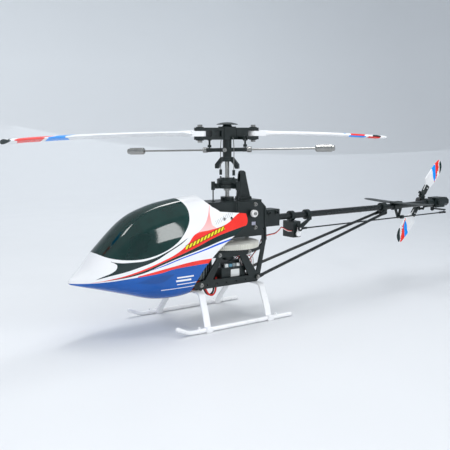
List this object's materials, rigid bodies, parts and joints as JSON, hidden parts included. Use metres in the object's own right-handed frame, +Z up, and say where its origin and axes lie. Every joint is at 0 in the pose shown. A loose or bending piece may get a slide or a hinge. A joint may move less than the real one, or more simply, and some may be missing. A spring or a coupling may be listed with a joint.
{
  "type": "remote control helicopter",
  "caption": "Model helicopter standing on skids: teardrop canopy, open black frame, belt of gears inside, flybar rotor head, long tail boom and a small tail rotor.",
  "frame": {"origin": "centre of the bounding box on the floor plane under the skids' feet", "axes": "+X forward along the tail boom towards the nose, +Y to port (left), +Z up along the rotor mast"},
  "size_m": [0.7094, 0.2054, 0.2321],
  "materials": {
    "black_plastic": "satin",
    "black_tube": "satin",
    "white_plastic": "gloss",
    "canopy_paint": "gloss",
    "window_tint": "gloss",
    "white_rubber": "matte",
    "steel": "polished",
    "tail_hub_plastic": "satin",
    "motor_metal": "satin",
    "heat_sink_metal": "anodised",
    "pinion_brass": "satin",
    "gear_nylon": "satin",
    "battery_wrap": "gloss",
    "lead_sheath": "satin",
    "blade_paint": "gloss",
    "tail_blade_paint": "gloss"
  },
  "bodies": {
    "airframe": {"frame_left": "black_plastic", "frame_right": "black_plastic", "mast_block": "black_plastic", "motor_mount": "black_plastic", "mast_bearings": "steel", "floor_tray": "black_plastic", "frame_fixings": "steel", "boom_block": "black_plastic", "canopy_grommets": "white_rubber", "canopy": "canopy_paint", "canopy_window": "window_tint", "landing_legs": "white_plastic", "skid_tubes": "white_plastic", "motor": "motor_metal", "heat_sink": "heat_sink_metal", "cyclic_servos": "black_plastic", "electronics": "black_plastic", "battery": "battery_wrap", "leads": "lead_sheath", "tail_servo": "black_plastic", "boom_clamps": "black_plastic", "tail_boom": "black_tube", "boom_supports": "black_tube", "stabiliser": "black_plastic", "tail_case": "black_plastic"},
    "rotor": {"mast": "steel", "main_gear": "gear_nylon", "crown_gear": "gear_nylon", "rotor_hub": "black_plastic", "head_button": "black_plastic", "spindle": "steel", "mixing_wires": "steel"},
    "motor_rotor": {"pinion": "pinion_brass"},
    "front_grip": {"grip_front": "black_plastic", "bolt_front": "steel"},
    "rear_grip": {"grip_rear": "black_plastic", "bolt_rear": "steel"},
    "front_blade": {"blade_front": "blade_paint"},
    "rear_blade": {"blade_rear": "blade_paint"},
    "flybar_body": {"seesaw": "black_plastic", "flybar": "steel"},
    "front_link": {"link_front": "black_plastic"},
    "rear_link": {"link_rear": "black_plastic"},
    "swash_ball_body": {"swash_ball": "steel"},
    "swash_ring": {"swash_lower": "black_plastic"},
    "swash_rotor": {"swash_upper": "black_plastic"},
    "elevator_rod_body": {"elevator_rod": "black_plastic"},
    "elevator_horn_body": {"elevator_horn": "white_plastic"},
    "aileron_rod_body": {"aileron_rod": "black_plastic"},
    "aileron_horn_body": {"aileron_horn": "white_plastic"},
    "tail_horn_body": {"tail_horn": "white_plastic"},
    "tail_pushrod_body": {"tail_pushrod": "black_tube"},
    "tail_drive": {"tail_drive_shaft": "steel"},
    "tail_rotor": {"tail_hub": "tail_hub_plastic"},
    "pitch_lever_body": {"pitch_lever": "black_plastic"},
    "pitch_slider_body": {"pitch_slider": "black_plastic"},
    "upper_tail_grip": {"tail_grip_upper": "black_plastic", "tail_blade_upper": "tail_blade_paint"},
    "lower_tail_grip": {"tail_grip_lower": "black_plastic", "tail_blade_lower": "tail_blade_paint"}
  },
  "joints": [
    {"name": "rotor_spin", "type": "hinge", "parent": "airframe", "child": "rotor", "pos_m": [0.0847, 0, 0.14], "axis": [0, 0, 1], "continuous": true},
    {"name": "motor_spin", "type": "hinge", "parent": "airframe", "child": "motor_rotor", "pos_m": [0.12595, 0, 0.087], "axis": [0, 0, 1], "continuous": true},
    {"name": "tail_drive_spin", "type": "hinge", "parent": "airframe", "child": "tail_drive", "pos_m": [-0.1153, 0, 0.1136], "axis": [1, 0, 0], "continuous": true},
    {"name": "tail_rotor_spin", "type": "hinge", "parent": "airframe", "child": "tail_rotor", "pos_m": [-0.3053, -0.01, 0.114], "axis": [0, 1, 0], "continuous": true},
    {"name": "swash_spin", "type": "hinge", "parent": "swash_ring", "child": "swash_rotor", "pos_m": [0.0847, 0, 0.162], "axis": [0, 0, 1], "continuous": true},
    {"name": "flybar_tilt", "type": "hinge", "parent": "rotor", "child": "flybar_body", "pos_m": [0.0847, 0, 0.1997], "axis": [0.7923, 0.6101, 0], "range_deg": [-6, 6]},
    {"name": "front_grip_pitch", "type": "hinge", "parent": "rotor", "child": "front_grip", "pos_m": [0.0847, 0, 0.2188], "axis": [1, 0, 0], "range_deg": [-7.58, 7.58]},
    {"name": "rear_grip_pitch", "type": "hinge", "parent": "rotor", "child": "rear_grip", "pos_m": [0.0847, 0, 0.2188], "axis": [1, 0, 0], "range_deg": [-7.58, 7.58]},
    {"name": "front_link_swing", "type": "hinge", "parent": "flybar_body", "child": "front_link", "pos_m": [0.09819, -0.01751, 0.20378], "axis": [0.7923, 0.6101, 0], "range_deg": [-6, 6]},
    {"name": "rear_link_swing", "type": "hinge", "parent": "flybar_body", "child": "rear_link", "pos_m": [0.07135, 0.01734, 0.20482], "axis": [0.7923, 0.6101, 0], "range_deg": [-6, 6]},
    {"name": "front_blade_fold", "type": "hinge", "parent": "front_grip", "child": "front_blade", "pos_m": [0.1237, 0, 0.2188], "axis": [0, 0, 1], "range_deg": [-80, 80]},
    {"name": "rear_blade_fold", "type": "hinge", "parent": "rear_grip", "child": "rear_blade", "pos_m": [0.0457, 0, 0.2188], "axis": [0, 0, 1], "range_deg": [-80, 80]},
    {"name": "swash_roll", "type": "hinge", "parent": "airframe", "child": "swash_ball_body", "pos_m": [0.0847, 0, 0.159], "axis": [1, 0, 0], "range_deg": [-6, 6]},
    {"name": "swash_pitch", "type": "hinge", "parent": "swash_ball_body", "child": "swash_ring", "pos_m": [0.0847, 0, 0.159], "axis": [0, 1, 0], "range_deg": [-6, 6]},
    {"name": "elevator_rod_slide", "type": "slide", "parent": "airframe", "child": "elevator_rod_body", "axis": [0, 0, 1], "range_m": [-0.0022, 0.0022]},
    {"name": "elevator_horn_turn", "type": "hinge", "parent": "airframe", "child": "elevator_horn_body", "pos_m": [0.1167, 0, 0.118], "axis": [0, 1, 0], "range_deg": [-11, 11]},
    {"name": "aileron_rod_slide", "type": "slide", "parent": "airframe", "child": "aileron_rod_body", "axis": [0, 0, 1], "range_m": [-0.0022, 0.0022]},
    {"name": "aileron_horn_turn", "type": "hinge", "parent": "airframe", "child": "aileron_horn_body", "pos_m": [0.0961, 0.02, 0.118], "axis": [0, 1, 0], "range_deg": [-11, 11]},
    {"name": "tail_horn_turn", "type": "hinge", "parent": "airframe", "child": "tail_horn_body", "pos_m": [-0.0193, 0.012, 0.0915], "axis": [0, 1, 0], "range_deg": [-25, 25]},
    {"name": "tail_pushrod_slide", "type": "slide", "parent": "airframe", "child": "tail_pushrod_body", "axis": [0.9997, 0.0257, 0], "range_m": [-0.00305, 0.00305]},
    {"name": "pitch_lever_turn", "type": "hinge", "parent": "airframe", "child": "pitch_lever_body", "pos_m": [-0.3188, -0.0142, 0.104], "axis": [0, 0, 1], "range_deg": [-8, 8]},
    {"name": "pitch_slider_slide", "type": "slide", "parent": "tail_rotor", "child": "pitch_slider_body", "axis": [0, 1, 0], "range_m": [-0.0019, 0.0019]},
    {"name": "upper_tail_pitch", "type": "hinge", "parent": "tail_rotor", "child": "upper_tail_grip", "pos_m": [-0.3053, -0.028, 0.114], "axis": [-0.5948, 0, 0.8039], "range_deg": [-16, 16]},
    {"name": "lower_tail_pitch", "type": "hinge", "parent": "tail_rotor", "child": "lower_tail_grip", "pos_m": [-0.3053, -0.028, 0.114], "axis": [0.5948, 0, -0.8039], "range_deg": [-16, 16]}
  ],
  "couplings": [
    {"joint": "motor_spin", "follows": "rotor_spin", "ratio": -10},
    {"joint": "tail_drive_spin", "follows": "rotor_spin", "ratio": -5.75},
    {"joint": "tail_rotor_spin", "follows": "rotor_spin", "ratio": -4.3125},
    {"joint": "swash_spin", "follows": "rotor_spin", "ratio": 1},
    {"joint": "front_grip_pitch", "follows": "flybar_tilt", "ratio": 1.2622},
    {"joint": "rear_grip_pitch", "follows": "flybar_tilt", "ratio": 1.2622},
    {"joint": "front_link_swing", "follows": "flybar_tilt", "ratio": -1},
    {"joint": "rear_link_swing", "follows": "flybar_tilt", "ratio": -1},
    {"joint": "elevator_rod_slide", "follows": "swash_pitch", "m_per_rad": -0.0206},
    {"joint": "elevator_horn_turn", "follows": "swash_pitch", "ratio": -1.807},
    {"joint": "aileron_rod_slide", "follows": "swash_roll", "m_per_rad": 0.0206},
    {"joint": "aileron_horn_turn", "follows": "swash_roll", "ratio": 1.807},
    {"joint": "tail_horn_turn", "follows": "tail_pushrod_slide", "rad_per_m": 142.86},
    {"joint": "pitch_lever_turn", "follows": "tail_pushrod_slide", "rad_per_m": -45.455},
    {"joint": "pitch_slider_slide", "follows": "tail_pushrod_slide", "ratio": -0.61364},
    {"joint": "upper_tail_pitch", "follows": "tail_pushrod_slide", "rad_per_m": -90.241},
    {"joint": "lower_tail_pitch", "follows": "tail_pushrod_slide", "rad_per_m": -90.241}
  ]
}
